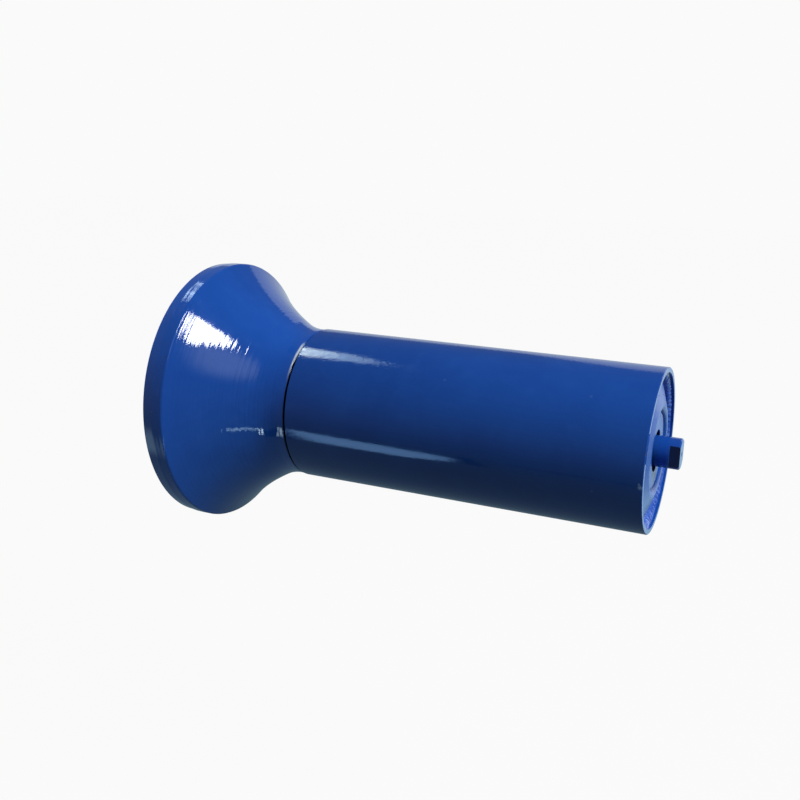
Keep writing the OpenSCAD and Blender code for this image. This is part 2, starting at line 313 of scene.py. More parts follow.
# each lamp lights but isn't mirrored; lit names what it lights alone, if it doesn't light everything
lamps = {
    "softTop": {"place": (2.16, -0.24, 2.07), "faces": (0.0, 0.0, 0.0), "side": 1.2, "radiance": 15.5},
    "nearTop": {"place": (0.42, -0.15, 0.50), "faces": (0.17, 0.0, 0.0), "side": 0.2, "radiance": 1.2,
                "lit": "tube"},
    "lowFront": {"place": (0.26, -0.55, -0.30), "faces": (-0.15, -0.06, -0.03), "side": 0.3,
                 "radiance": 1.1, "lit": "bell"},
    "leftTop": {"place": (-0.75, 0.0, 0.85), "faces": (-0.19, 0.0, 0.1), "side": 0.4, "radiance": 7.0,
                "lit": "bell"},
    "wideEnd": {"place": (-1.30, -0.50, 0.55), "faces": (-0.20, 0.0, 0.0), "side": 0.9,
                "radiance": 3.0, "lit": "wideEnd"},
}

# each panel is mirrored but lights nothing: its corners lie on a plane overhead, as (x, y), or on
# one in front, as (x, z); patch is the width of the blots that make it uneven
panelPlanes = {"overhead": 1.0, "front": -0.5}
panelPatches = {"dark": 0.32, "bright": 0.68, "gain": 1.6}
panels = {
    "key": {"plane": "overhead", "radiance": 30.0, "tint": (1.0, 1.0, 1.0), "mirror": "bell",
            "corners": [(0.70, -0.01), (0.42, -0.19), (0.42, -0.29), (0.53, -0.41), (1.10, -0.56),
                        (1.05, -0.43), (0.85, -0.12)]},
    "rimStreak": {"plane": "overhead", "radiance": 6.0, "tint": (0.66, 0.86, 1.0), "mirror": "bell",
                  "corners": [(-0.90, 0.04), (-0.83, 0.05), (-0.86, 0.50), (-0.97, 0.56), (-0.98, 0.40)],
                  "patch": 0.09},
    "ceilingNear": {"plane": "overhead", "radiance": 17.0, "tint": (0.84, 1.0, 0.95), "mirror": "tube",
                    "corners": [(-0.66, -0.04), (-0.67, 0.23), (-0.60, 0.25), (-0.59, -0.01)],
                    "patch": 0.05},
    "ceilingFar": {"plane": "overhead", "radiance": 7.0, "tint": (0.62, 0.88, 1.0), "mirror": "tube",
                   "corners": [(-0.59, -0.01), (-0.60, 0.25), (-0.53, 0.22), (-0.46, 0.06),
                               (-0.48, -0.03)],
                   "patch": 0.05},
    "lowStrip": {"plane": "front", "radiance": 4.2, "tint": (0.27, 0.55, 1.0), "mirror": "tube",
                 "corners": [(-0.375, -0.245), (-0.13, -0.295), (-0.15, -0.37), (-0.24, -0.44),
                             (-0.425, -0.42)]},
    "lowDotsLeft": {"plane": "front", "radiance": 6.0, "tint": (0.60, 0.85, 1.0), "mirror": "bell",
                    "corners": [(-0.38, -0.26), (-0.38, -0.42), (-0.46, -0.46), (-0.42, -0.26)]},
}

# a row of small lights low in front
dotRow = {
    "places": (0.118, 0.103, 0.066, 0.043, 0.018, -0.010, -0.037, -0.074),      # along X
    "half": 0.0034,
    "high": -0.248,
    "low": -0.290,
    "radiance": 13.0,
    "tint": (0.50, 0.80, 1.0),
}
for i, x in enumerate(dotRow["places"]):
    left, right = x - dotRow["half"], x + dotRow["half"]
    corners = [(left, dotRow["high"]), (right, dotRow["high"]), (right, dotRow["low"]), (left, dotRow["low"])]
    panels["dot" + str(i)] = {"plane": "front", "corners": corners, "radiance": dotRow["radiance"],
                              "tint": dotRow["tint"], "mirror": "bell"}
panels["dotLast"] = {"plane": "front", "radiance": 13.0, "tint": (0.60, 0.85, 1.0), "mirror": "bell",
                     "corners": [(-0.120, -0.27), (-0.095, -0.25), (-0.095, -0.36), (-0.120, -0.38)]}


def makeLamp(name, place, faces, side, radiance, lit=None):
    data = bpy.data.lights.new(name, "AREA")
    data.shape = "SQUARE"
    data.size = side
    data.energy = radiance * side * side * math.pi
    lamp = placed(name, data)
    aim = (Vector(faces) - Vector(place)).normalized()
    lamp.matrix_world = Matrix.Translation(place) @ aim.to_track_quat("-Z", "Y").to_matrix().to_4x4()
    lamp.visible_camera = False
    lamp.visible_glossy = False
    return lamp, lit


def makePanel(name, plane, corners, radiance, tint, mirror, patch=0.0):
    mesh = bpy.data.meshes.new(name)
    level = panelPlanes[plane]
    points = [(x, other, level) if plane == "overhead" else (x, level, other) for x, other in corners]
    mesh.from_pydata(points, [], [tuple(range(len(points)))])
    panel = placed(name, mesh)
    material = bpy.data.materials.new(name + "Glow")
    sheet = Sheet(emptyTree(material))
    strength = radiance
    if patch:
        place = sheet.add("ShaderNodeTexCoord", out="Object")
        blots = sheet.noise(place, patch)
        strength = sheet.between(blots, panelPatches["dark"], panelPatches["bright"])
        strength = strength * radiance * panelPatches["gain"]
    glow = sheet.add("ShaderNodeEmission", {"Color": (*tint, 1.0), "Strength": strength})
    sheet.add("ShaderNodeOutputMaterial", {"Surface": glow})
    mesh.materials.append(material)
    panel.visible_camera = False
    panel.visible_diffuse = False
    panel.visible_shadow = False
    return panel, mirror


def makeRoom(look, glows):
    world = bpy.data.worlds.new("room")
    bpy.context.scene.world = world
    sheet = Sheet(emptyTree(world))
    way = sheet.add("ShaderNodeTexCoord", out="Generated")
    x, y, z = sheet.split(way)
    room = look["front"] + sheet.between(z, *look["topFade"]) * (look["top"] - look["front"])
    room = room + sheet.between(z, *look["underFade"]) * (look["under"] - look["front"])
    room = room + sheet.between(x, *look["leftFade"]) * (look["left"] - look["front"])
    slope = sheet.sum("MINIMUM", x, look["backdropSlopeEnd"]) * look["backdropSlope"]
    slope = look["backdropStep"] + slope
    edge = look["backdropTop"] + sheet.between(x, *look["backdropStepFade"]) * slope
    blur = look["backdropBlur"]
    behind = sheet.between(y, *look["backdropFade"]) * sheet.between(z - edge, blur, -blur)
    right = sheet.between(x, *look["backdropRightFade"])
    foot = look["backdropFoot"] + right * look["backdropDrop"]
    behind = behind * sheet.between(z - foot, 0.0, look["backdropFootBlur"])
    wall = look["backdrop"] + right * (look["backdropRight"] - look["backdrop"])
    glow = room * (1 - behind) + wall * behind
    for direction, radius, strength in glows.values():
        away = sheet.distance(way, direction)
        glow = glow + sheet.between(away, radius, radius * glowCore) * strength
    paths = sheet.tree.nodes.new("ShaderNodeLightPath")
    seen = Wire(sheet, paths.outputs["Is Camera Ray"])
    mirrored = Wire(sheet, paths.outputs["Is Glossy Ray"])
    strength = look["fill"] + mirrored * (glow - look["fill"])
    low = mirrored * sheet.between(z, *look["lowTintFade"])
    tint = sheet.mixed(low, look["tint"], look["lowTint"])
    room = sheet.add("ShaderNodeBackground", {"Color": tint, "Strength": strength})
    plain = sheet.add("ShaderNodeBackground", {"Color": grey(1.0), "Strength": look["white"]})
    both = sheet.add("ShaderNodeMixShader", {0: seen, 1: room, 2: plain})
    sheet.add("ShaderNodeOutputWorld", {"Surface": both})


def makeFloor(look):
    half = look["floorSize"] / 2
    z = -look["floorDrop"]
    mesh = bpy.data.meshes.new("floor")
    mesh.from_pydata([(-half, -half, z), (half, -half, z), (half, half, z), (-half, half, z)], [],
                     [(0, 1, 2, 3)])
    floor = placed("floor", mesh)
    material = bpy.data.materials.new("paleFloor")
    sheet = Sheet(emptyTree(material))
    matt = sheet.add("ShaderNodeBsdfDiffuse", {"Color": grey(look["floorGrey"])})
    pale = sheet.add("ShaderNodeEmission", {"Color": grey(1.0), "Strength": look["floorGlow"]})
    both = sheet.add("ShaderNodeAddShader", {0: matt, 1: pale})
    sheet.add("ShaderNodeOutputMaterial", {"Surface": both})
    mesh.materials.append(material)
    floor.visible_glossy = False
    floor.visible_diffuse = False


makeRoom(studioLook, glows)
makeFloor(studioLook)
lightsMade = [makeLamp(name, **settings) for name, settings in lamps.items()]
lightsMade += [makePanel(name, **settings) for name, settings in panels.items()]
bpy.context.scene.view_settings.view_transform = "Standard"
print("camera, lamps and floor ready")


# ---- Finishes

class Finish(Sheet):
    # a material: places on the piece first, then what feeds the shader
    def __init__(self, name):
        self.material = bpy.data.materials.new(name)
        super().__init__(emptyTree(self.material))
        self.place = self.add("ShaderNodeTexCoord", out="Object")
        self.x, self.y, self.z = self.split(self.place)
        self.radius = self.sum("SQRT", self.y * self.y + self.z * self.z)
        self.around = self.sum("ARCTAN2", self.z, self.y)

    def turned(self, width, run):
        # a place for marks left by turning: their width, and how far they run round, in radians
        return self.vector(self.x / width, self.radius / width, self.around / run)

    def bump(self, height, depth, under=None):
        sockets = {"Height": height, "Distance": depth, "Strength": 1.0}
        if under is not None:
            sockets["Normal"] = under
        return self.add("ShaderNodeBump", sockets)

    def spot(self, centre, size, soft):
        # 1 inside a round mark on the surface, 0 outside
        gap = self.distance(self.place, centre)
        return self.between(gap, size, size * (1 - soft))

    def done(self, shade):
        # varying values come as wires, and constants are set on the shader's own sockets
        surface = self.add("ShaderNodeBsdfPrincipled", shade)
        self.add("ShaderNodeOutputMaterial", {"Surface": surface})
        return self.material


# glossy blue enamel, sprayed on every steel part of the roller
enamelLook = {
    "blue": colour(30, 89, 188),
    "thinBlue": colour(38, 97, 196),
    "deepBlue": colour(26, 83, 180),
    "patchSize": 0.075,             # wide patches, deep blue to blue
    "patchEdge": (0.35, 0.68),
    "mistSize": 0.012,              # small clouds of thinner paint
    "mistEdge": (0.45, 0.8),
    "mistShift": (3.1, 1.7, 5.3),
    "mistShare": 0.35,
    "peelSize": 0.0022,             # orange peel
    "peelDepth": 0.000040,
    "grainSize": 0.0007,
    "grainDepth": 0.000010,
    "dust": colour(130, 140, 160),
    "dustWidth": 2.2,               # of a speck of dust, in grains
    "dustEdge": (0.66, 0.74),
    "dustShare": 0.05,
    "shine": 0.07,                  # roughness where the coat is full, and where it is thin
    "dull": 0.13,
    "shineEdge": (0.4, 0.66),
    "ior": 1.5,
    "rust": colour(44, 44, 56),     # of bare places
    "steel": colour(132, 140, 160),
    "rustSize": 0.0009,
    "rustEdge": (0.4, 0.6),
    "bareRough": 0.3,
    "bareMetal": 0.6,
}


def enamel(name, look, wear=None, marksAndPaintedLight=None, height=None, heightDepth=0.0):
    # wear gives where the paint is chipped, the next argument repaints places with marks and with painted
    # shade and highlights, height adds relief below the coat
    finish = Finish(name)
    patches = finish.noise(finish.place, look["patchSize"], detail=2.5, rough=0.5, twist=0.3)
    mist = finish.noise(finish.shifted(finish.place, look["mistShift"]), look["mistSize"], detail=4.0)
    tone = finish.mixed(finish.between(patches, *look["patchEdge"]), look["deepBlue"], look["blue"])
    tone = finish.mixed(finish.between(mist, *look["mistEdge"]) * look["mistShare"], tone, look["thinBlue"])
    specks = finish.noise(finish.place, look["grainSize"] * look["dustWidth"])
    tone = finish.mixed(finish.between(specks, *look["dustEdge"]) * look["dustShare"], tone, look["dust"])
    thin = finish.between(patches * 0.5 + mist * 0.5, *look["shineEdge"])
    rough = look["shine"] + thin * (look["dull"] - look["shine"])
    peel = finish.noise(finish.place, look["peelSize"], detail=1.5, rough=0.4)
    grain = finish.noise(finish.place, look["grainSize"])
    normal = finish.bump(grain, look["grainDepth"])
    normal = finish.bump(peel, look["peelDepth"], normal)
    if height is not None:
        normal = finish.bump(height(finish), heightDepth, normal)
    if marksAndPaintedLight is not None:
        tone = marksAndPaintedLight(finish, tone)
    shade = {"Base Color": tone, "Normal": normal, "IOR": look["ior"]}
    if wear is not None:
        bare = wear(finish)
        rusty = finish.noise(finish.place, look["rustSize"], detail=3.0)
        metalTone = finish.mixed(finish.between(rusty, *look["rustEdge"]), look["rust"], look["steel"])
        shade["Base Color"] = finish.mixed(bare, tone, metalTone)
        rough = rough + bare * look["bareRough"]
        shade["Metallic"] = bare * look["bareMetal"]
    shade["Roughness"] = rough
    return finish.done(shade)


tubeLow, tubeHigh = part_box("tube")
bellLow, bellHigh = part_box("bell")
tubeRadius = tubeHigh.z
rimRadius = min(bellHigh.y, bellHigh.z, -bellLow.y, -bellLow.z)

chipBlur = 0.05                 # how soft the outline of a chip is
# painted shade in the seam between tube and bell, dark where the gap lies in shade
gapShade = {
    "dark": colour(6, 9, 16),
    "width": 0.0009,            # of the ring of painted shade on the tube
    "bellShare": 0.8,           # of that width on the bell
    "blur": 0.3,
    "dim": (0.86, 0.70),        # from these heights down the painted shade in the gap darkens, in radii of the tube
}
tubeWear = {
    "edgeWidth": 0.0009,
    "chipSize": 0.0035,
    "chipShare": 0.63,
    "speckTone": colour(150, 195, 255),
    "speckBlur": 0.8,
    # pale specks in the paint: place along X, angle up from the front, size, strength
    "specks": [(0.0394, 48.8, 0.0016, 0.10), (0.1572, 50.5, 0.0018, 0.08), (0.1671, -13.5, 0.0016, 0.14),
               (0.2026, -5.1, 0.0026, 1.0), (0.2016, -3.0, 0.0014, 0.7)],
    "crustSize": 0.0022,
    "crustDepth": 0.00006,
    "crustFade": (0.012, 0.040),        # heights above the axis
}


def tubeChips(finish):
    # small chips at the open ends of the tube, where it knocks against things
    look = tubeWear
    fromEnd = finish.sum("MINIMUM", tubeHigh.x - finish.x, finish.x - tubeLow.x)
    atEnd = finish.between(fromEnd, look["edgeWidth"], 0.0)
    chips = finish.noise(finish.place, look["chipSize"], detail=3.0, rough=0.65)
    return atEnd * finish.between(chips, look["chipShare"], look["chipShare"] + chipBlur)


def crust(finish):
    # dry spray that settled on the upper side, as a fine grain
    grain = finish.noise(finish.place, tubeWear["crustSize"])
    return grain * finish.between(finish.z, *tubeWear["crustFade"])


def gapShadeFade(finish):
    # painted shade in the gap: dark round the sides and below, and less so on top
    top, dark = gapShade["dim"]
    return finish.between(finish.z, tubeRadius * top, tubeRadius * dark)


def tubeSpecksAndGapShade(finish, tone):
    # pale specks, and painted shade in a ring at the end that meets the bell, for the shade in the gap
    look = tubeWear
    for x, angle, size, share in look["specks"]:
        up = math.radians(angle)
        centre = (x, -tubeRadius * math.cos(up), tubeRadius * math.sin(up))
        tone = finish.mixed(finish.spot(centre, size, look["speckBlur"]) * share, tone, look["speckTone"])
    width = gapShade["width"]
    inGapShade = finish.between(finish.x, tubeLow.x + width, tubeLow.x + width * gapShade["blur"])
    return finish.mixed(inGapShade * gapShadeFade(finish), tone, gapShade["dark"])


# chips and turning rings of the bell, and a painted highlight on the collar's edge
bellWearAndHighlight = {
    "edgeWidth": 0.0009,
    "chipSize": 0.004,
    "chipShare": 0.66,
    "chipReach": 0.0002,                    # inside the rim's radius, where chips are whole
    "edgeHighlight": colour(205, 220, 240),      # a painted highlight: a bright line on the collar's rounded edge
    "edgeStart": 0.0024,                    # from the end of the collar
    "edgeFull": 0.0012,
    "edgeLow": (0.50, 0.82),                # heights between which it is, in radii of the tube
    "edgeHigh": (0.93, 0.88),
    "edgeFront": (0.0, -0.005),             # and the side that it is on, along Y
    "ringWidth": 0.0011,
    "ringRound": 0.7,
    "ringDepth": 0.000010,
}


def rimChips(finish):
    look = bellWearAndHighlight
    atRim = finish.between(finish.radius, rimRadius - look["edgeWidth"], rimRadius - look["chipReach"])
    chips = finish.noise(finish.place, look["chipSize"], detail=3.0, rough=0.65)
    return atRim * finish.between(chips, look["chipShare"], look["chipShare"] + chipBlur)


def bellHighlightAndGapShade(finish, tone):
    # the collar's edge: a painted highlight near the top, and painted shade in the gap
    look = bellWearAndHighlight
    bright = finish.between(finish.x, bellHigh.x - look["edgeStart"], bellHigh.x - look["edgeFull"])
    for low, high in (look["edgeLow"], look["edgeHigh"]):
        bright = bright * finish.between(finish.z, tubeRadius * low, tubeRadius * high)
    front = finish.between(finish.y, *look["edgeFront"])
    tone = finish.mixed(bright * front, tone, look["edgeHighlight"])
    width = gapShade["width"] * gapShade["bellShare"]
    inGapShade = finish.between(finish.x, bellHigh.x - width, bellHigh.x - width * gapShade["blur"])
    return finish.mixed(inGapShade * gapShadeFade(finish), tone, gapShade["dark"])


def turningRings(finish):
    # ridges left by the tool that turned the flare, running round it under the paint
    look = bellWearAndHighlight
    return finish.noise(finish.turned(look["ringWidth"], look["ringRound"]), detail=2.5)


# metal and nylon inside the roller
steelLook = {
    "ground": colour(150, 154, 160),
    "groundDark": colour(118, 122, 130),
    "zinc": colour(120, 122, 126),
    "zincDark": colour(84, 86, 92),
    "spring": colour(42, 43, 46),
    "springBrown": colour(62, 54, 48),
    "ball": colour(186, 188, 192),
    "filmSize": 0.009,              # of the patches of oil
    "filmEdge": (0.38, 0.66),
    "lineRun": 1.4,                 # how far a turning line goes round, in radians
    "filmPart": 0.6,                # of the film in what dulls the shine; the lines have the rest
    "shineEdge": (0.36, 0.66),
}


def steel(name, light, dark, rough, lineWidth, lineDepth):
    # bare metal with fine lines round the axis and a film of oil in patches
    finish = Finish(name)
    look = steelLook
    film = finish.noise(finish.place, look["filmSize"], detail=3.0)
    lines = finish.noise(finish.turned(lineWidth, look["lineRun"]))
    tone = finish.mixed(finish.between(film, *look["filmEdge"]), dark, light)
    dull = film * look["filmPart"] + lines * (1 - look["filmPart"])
    dull = finish.between(dull, *look["shineEdge"])
    rough = rough[0] + dull * (rough[1] - rough[0])
    normal = finish.bump(lines, lineDepth)
    return finish.done({"Base Color": tone, "Roughness": rough, "Normal": normal, "Metallic": 1.0})


nylonLook = {
    "cage": colour(214, 204, 176),
    "cageShade": colour(190, 176, 142),
    "seal": colour(34, 35, 38),
    "sealShade": colour(52, 54, 60),
    "grease": colour(120, 104, 62),
    "cloudSize": 0.014,
    "cloudEdge": (0.38, 0.66),
    "grainSize": 0.0006,
    "grainDepth": 0.00002,
    "smearWidth": 0.004,
    "smearRun": 0.8,
    "smearEdge": (0.56, 0.7),
    "matt": 0.52,                   # roughness, and what a smear and the grain do to it
    "smearShine": 0.3,
    "grainMatt": 0.1,
    "ior": 1.53,
}


def nylon(name, light, dark, greaseShare):
    # moulded nylon, matt where the mould was etched, with smears of grease
    finish = Finish(name)
    look = nylonLook
    cloud = finish.noise(finish.place, look["cloudSize"], detail=3.0, rough=0.55)
    grain = finish.noise(finish.place, look["grainSize"])
    smear = finish.noise(finish.turned(look["smearWidth"], look["smearRun"]), detail=3.0)
    smear = finish.between(smear, *look["smearEdge"])
    tone = finish.mixed(finish.between(cloud, *look["cloudEdge"]), dark, light)
    tone = finish.mixed(smear * greaseShare, tone, look["grease"])
    rough = look["matt"] - smear * look["smearShine"] + grain * look["grainMatt"]
    normal = finish.bump(grain, look["grainDepth"])
    shade = {"Base Color": tone, "Roughness": rough, "Normal": normal, "IOR": look["ior"]}
    return finish.done(shade)


# painted light: the welds' blue is lighter, for the light that the beads catch
weldPaintedLightLook = {
    "blue": colour(88, 128, 224),
    "thinBlue": colour(128, 156, 232),
    "deepBlue": colour(40, 92, 200),
    "patchSize": 0.009,
    "mistSize": 0.004,
    "peelDepth": 0.00008,
    "dustShare": 0.25,
    "dull": 0.24,
}

# painted shade on the shaft's milled flats
shaftFlatShade = {
    "flatFrom": 0.2133,         # where the milled flats begin along X, and where the painted shade is whole
    "flatFull": 0.2136,
    "flatHalf": 0.0090,         # from the axis to a flat
    "flatBlur": (0.00015, 0.00005),
    "flatShadeTone": colour(22, 38, 78),
    "flatShadeSize": 0.004,
    "flatShadeLeast": 0.75,
    "flatShadeMore": 0.3,
}


def paintShaftFlatShade(finish, tone):
    # painted shade on the flats, uneven in patches, for the shade that they lie in
    look = shaftFlatShade
    half = look["flatHalf"]
    far, close = look["flatBlur"]
    fromMiddle = finish.sum("ABSOLUTE", finish.x)
    side = finish.sum("ABSOLUTE", finish.y)
    flat = finish.between(fromMiddle, look["flatFrom"], look["flatFull"])
    flat = flat * finish.between(side, half + far, half + close)
    flat = flat * finish.between(side, half - far, half - close)
    smear = finish.noise(finish.place, look["flatShadeSize"], detail=3.0)
    return finish.mixed(flat * (look["flatShadeLeast"] + smear * look["flatShadeMore"]), tone, look["flatShadeTone"])


# how the coat differs from piece to piece
tubeCoat = dict(enamelLook, peelDepth=0.000030)
bellCoat = dict(enamelLook, peelDepth=0.000014, shine=0.05, dull=0.10)
endCoat = dict(enamelLook, shine=0.30, dull=0.42)
weldCoat = dict(enamelLook, **weldPaintedLightLook)

finishes = {
    "tube": enamel("tubeEnamel", tubeCoat, tubeChips, tubeSpecksAndGapShade, crust, tubeWear["crustDepth"]),
    "bell": enamel("bellEnamel", bellCoat, rimChips, bellHighlightAndGapShade, turningRings, bellWearAndHighlight["ringDepth"]),
    "end": enamel("endEnamel", endCoat),
    "weld": enamel("weldEnamel", weldCoat),
    "shaft": enamel("shaftEnamel", enamelLook, marksAndPaintedLight=paintShaftFlatShade),
    "bearing": steel("groundSteel", steelLook["ground"], steelLook["groundDark"],
                     rough=(0.16, 0.34), lineWidth=0.0005, lineDepth=0.000004),
    "ball": steel("polishedSteel", steelLook["ball"], steelLook["ground"],
                  rough=(0.05, 0.12), lineWidth=0.002, lineDepth=0.000001),
    "sleeve": steel("zincSteel", steelLook["zinc"], steelLook["zincDark"],
                    rough=(0.28, 0.5), lineWidth=0.0009, lineDepth=0.00001),
    "spring": steel("springSteel", steelLook["spring"], steelLook["springBrown"],
                    rough=(0.35, 0.55), lineWidth=0.001, lineDepth=0.000006),
    "cage": nylon("cageNylon", nylonLook["cage"], nylonLook["cageShade"], greaseShare=0.35),
    "seal": nylon("sealNylon", nylonLook["seal"], nylonLook["sealShade"], greaseShare=0.2),
}


def paint(name, *nodes):
    for node in nodes:
        mesh = cadNodes[node].data
        mesh.materials.clear()
        mesh.materials.append(finishes[name])


def each(places, *endings):
    # the names of the same nodes at several stations
    return [place + "_" + ending for place in places for ending in endings]


paint("tube", "tube")
paint("bell", "bell")
paint("end", "bell_disc", *each(stations, "housing"), *each(outerStations, "dust_cover"))
paint("weld", "bell_disc_weld", *each(stations, "housing_weld"))
paint("shaft", "shaft")
paint("bearing", *each(stations, "inner_ring", "outer_ring"))
paint("ball", *each(stations, "balls"))
paint("sleeve", "middle_spacer", "bell_spacer")
paint("spring", *each(outerStations, "circlip"))
paint("cage", *each(stations, "cage"))
paint("seal", *each(stations, "grease_retainer", "fixed_labyrinth", "turning_labyrinth"))
print("finishes ready:", len(finishes))


# ---- Bell: its section turned round the shaft, with the ridges of the tool that turned it

bellShape = {
    "collarRadius": 0.0657,
    "collarLength": 0.005,
    "collarRound": 0.0008,      # of its rounded edge, which carries the painted highlight
    "collarRows": 5,
    "wall": 0.005,
    "throatRadius": 0.050,
    "throatAngle": 28.6,
    "rimWidth": 0.0188,
    "rimFlat": 0.0103,
    "rimDraft": 0.0009,
    "rimBevel": 0.0008,
    "rimWall": 0.008,
    "facePitch": 0.00045,       # from row to row on the face, on the rim and elsewhere
    "rimPitch": 0.0008,
    "innerPitch": 0.003,
    "collarRelief": 0.3,        # share of the ridges on the collar, where the flare ends, on the rim
    "lipRelief": 0.45,
    "rimRelief": 0.9,
    "ridgeEdge": (0.2, 0.8),    # values of the noise where a ridge is highest and deepest
    "inputs": {"Steps": 240, "Ridge Width": 0.0019, "Ridge Run": 0.045, "Ridge Depth": 0.00010},
}


def along(start, end, pitch, weight):
    # rows of a straight side, from start up to but not at end; both are (depth, radius)
    start, end = Vector(start), Vector(end)
    way = (end - start).normalized()
    count = max(1, round((end - start).length / pitch))
    return [(*start.lerp(end, i / count), -way.y, way.x, weight) for i in range(count)]


def arcRows(centre, radius, first, last, pitch, weight, lastWeight=None):
    # rows of an arc about a centre outside the face, by angles from the plane of the small end
    more = 0.0 if lastWeight is None else lastWeight - weight
    count = max(1, round(abs(last - first) * radius / pitch))
    rows = []
    for i in range(count):
        turn = first + (last - first) * i / count
        rows.append((centre[0] + radius * math.sin(turn), centre[1] - radius * math.cos(turn),
                     -math.sin(turn), math.cos(turn), weight + more * i / count))
    return rows


def roundedRows(centre, radius, count):
    # rows of a rounded outer edge, from the end face to the outside
    turns = [math.pi / 2 * i / count for i in range(count)]
    return [(centre[0] - radius * math.cos(turn), centre[1] + radius * math.sin(turn),
             -math.cos(turn), math.sin(turn), 0.0) for turn in turns]


def bellRows(look):
    # the closed section: from the bore of the collar over face and rim, and back on the inside
    length = bellHigh.x - bellLow.x
    wall = look["wall"]
    outer, inner = look["collarRadius"], look["collarRadius"] - wall
    bore = rimRadius - look["rimWall"]
    rimStart = length - look["rimWidth"]
    straight = look["collarLength"]
    throat = math.radians(look["throatAngle"])
    throatCentre = (straight, outer + look["throatRadius"])
    bendDepth = throatCentre[0] + look["throatRadius"] * math.sin(throat)
    bendRadius = throatCentre[1] - look["throatRadius"] * math.cos(throat)
    rise, run = rimRadius - bendRadius, rimStart - bendDepth
    flare = 2 * math.atan2(rise, run) - throat
    flareRadius = math.hypot(rise, run) / (2 * math.sin((flare - throat) / 2))
    flareCentre = (bendDepth - flareRadius * math.sin(throat), bendRadius + flareRadius * math.cos(throat))
    atBore = math.acos((flareCentre[1] - bore) / (flareRadius + wall))
    boreDepth = flareCentre[0] + (flareRadius + wall) * math.sin(atBore)
    fine, coarse, rim = look["facePitch"], look["innerPitch"], look["rimPitch"]
    bevelled = flare - look["rimBevel"] / flareRadius
    lip = (flareCentre[0] + flareRadius * math.sin(bevelled),
           flareCentre[1] - flareRadius * math.cos(bevelled))
    corners = [lip, (rimStart + look["rimBevel"], rimRadius), (rimStart + look["rimFlat"], rimRadius),
               (length, rimRadius - look["rimDraft"]), (length, bore), (boreDepth, bore)]
    edge = look["collarRound"]
    rows = along((0.0, inner), (0.0, outer - edge), coarse, 0.0)
    rows += roundedRows((edge, outer - edge), edge, look["collarRows"])
    rows += along((edge, outer), (straight, outer), rim, look["collarRelief"])
    rows += arcRows(throatCentre, look["throatRadius"], 0.0, throat, fine, 1.0)
    rows += arcRows(flareCentre, flareRadius, throat, bevelled, fine, 1.0, look["lipRelief"])
    rows += along(corners[0], corners[1], coarse, 0.0)
    rows += along(corners[1], corners[2], rim, look["rimRelief"])
    rows += along(corners[2], corners[3], rim, look["rimRelief"])
    rows += along(corners[3], corners[4], coarse, 0.0)
    rows += along(corners[4], corners[5], coarse, 0.0)
    rows += arcRows(flareCentre, flareRadius + wall, atBore, throat, coarse, 0.0)
    rows += arcRows(throatCentre, look["throatRadius"] + wall, throat, 0.0, coarse, 0.0)
    rows += along((straight, inner), (0.0, inner), coarse, 0.0)
    section, place = [], 0.0
    for i, (depth, radius, outDepth, outRadius, weight) in enumerate(rows):
        if i:
            place += math.hypot(depth - rows[i - 1][0], radius - rows[i - 1][1])
        section.append((bellHigh.x - depth, radius, place, -outDepth, outRadius, weight))
    return section


def ridges(shape, spot, place, angle):
    # always into the metal, so that the bell keeps its size
    run = shape.given["Ridge Run"]
    x, y, z = shape.split(spot)
    stretched = shape.vector(place / shape.given["Ridge Width"], y / run, z / run)
    noise = shape.noise(stretched, rough=0.55)
    return shape.between(noise, *bellShape["ridgeEdge"]) * shape.given["Ridge Depth"] * -1.0


bellPiece = Shape("turnedBell", bellShape["inputs"])
turnedBell = bellPiece.piece(bellRows(bellShape), bellPiece.turnedRound(ridges), finishes["bell"])
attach(turnedBell, "bell")
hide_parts("bell")


# ---- Weld beads: ripples laid one over the next, round the open ends

beadShape = {
    "plateX": 0.197,            # of the plate where it meets the wall, at either end
    "tubeBore": 0.0625,         # radius of the wall that the housings sit in
    "leg": 0.0055,              # height of a bead along the wall
    "endFade": 4.0,             # how fast the ripples die out towards either edge
    "crownHeight": 0.0022,
    "crownHalf": 0.00495,
    "crownOff": 0.001125,       # from the joint to the middle of the crown, towards the axis
    "crownReach": 1.04,         # how far its arch runs on into the metal
    "crownFoot": (-0.0008, -0.0012),            # where its back ends, inside the wall
    "bend": 0.0045,             # radius of the housing's rim
    "bendTurns": (90.0, 70.0, 45.0, 20.0),      # degrees round it, a row of the groove at each
    "bendFoot": 0.8,            # depth of the groove's foot, in such radii
    "coneSlope": 0.328,         # rise of the housing's face towards its hub
    "coneFrom": 0.0038,         # from the wall to where that rise begins
    "coneEnd": 86.0,            # where the fillet's quarter round ends on the cone, in degrees
    "sunk": 0.0003,             # how far the back of a bead lies in the metal
    "rows": 14,
    "pitch": 0.0048,            # from ripple to ripple
    "stepsPerRipple": 8,
    "lumpMiddle": 0.55,         # value of the noise where a bead has its plain height
    "dropFlat": 0.6,            # height of a drop of spatter, in radii
    "dropRounds": 2,
    "seeds": {"away": 3, "angle": 5, "size": 11},
    "inputs": {"Ripple Depth": 0.0007, "Bow": 0.40, "Lump Size": 0.006, "Lump Height": 0.0020,
               "Spatter Small": 0.00018, "Spatter Large": 0.0006, "Spatter Near": 0.007,
               "Spatter Far": 0.018, "Spatter": 26},
}


def ripples(shape, spot, place, angle):
    # scallops that bow across the bead, on a bead of uneven height
    given = shape.given
    phase = shape.sum("FRACT", angle / fullTurn * given["Ripples"] + place * place * given["Bow"])
    scallop = 1.0 - (2.0 * phase - 1.0) * (2.0 * phase - 1.0)
    size = given["Lump Size"]
    lump = shape.noise(shape.divided(spot, shape.vector(size, size, size)), rough=0.5)
    lump = lump - beadShape["lumpMiddle"]
    return (scallop - 1.0) * given["Ripple Depth"] + lump * given["Lump Height"]


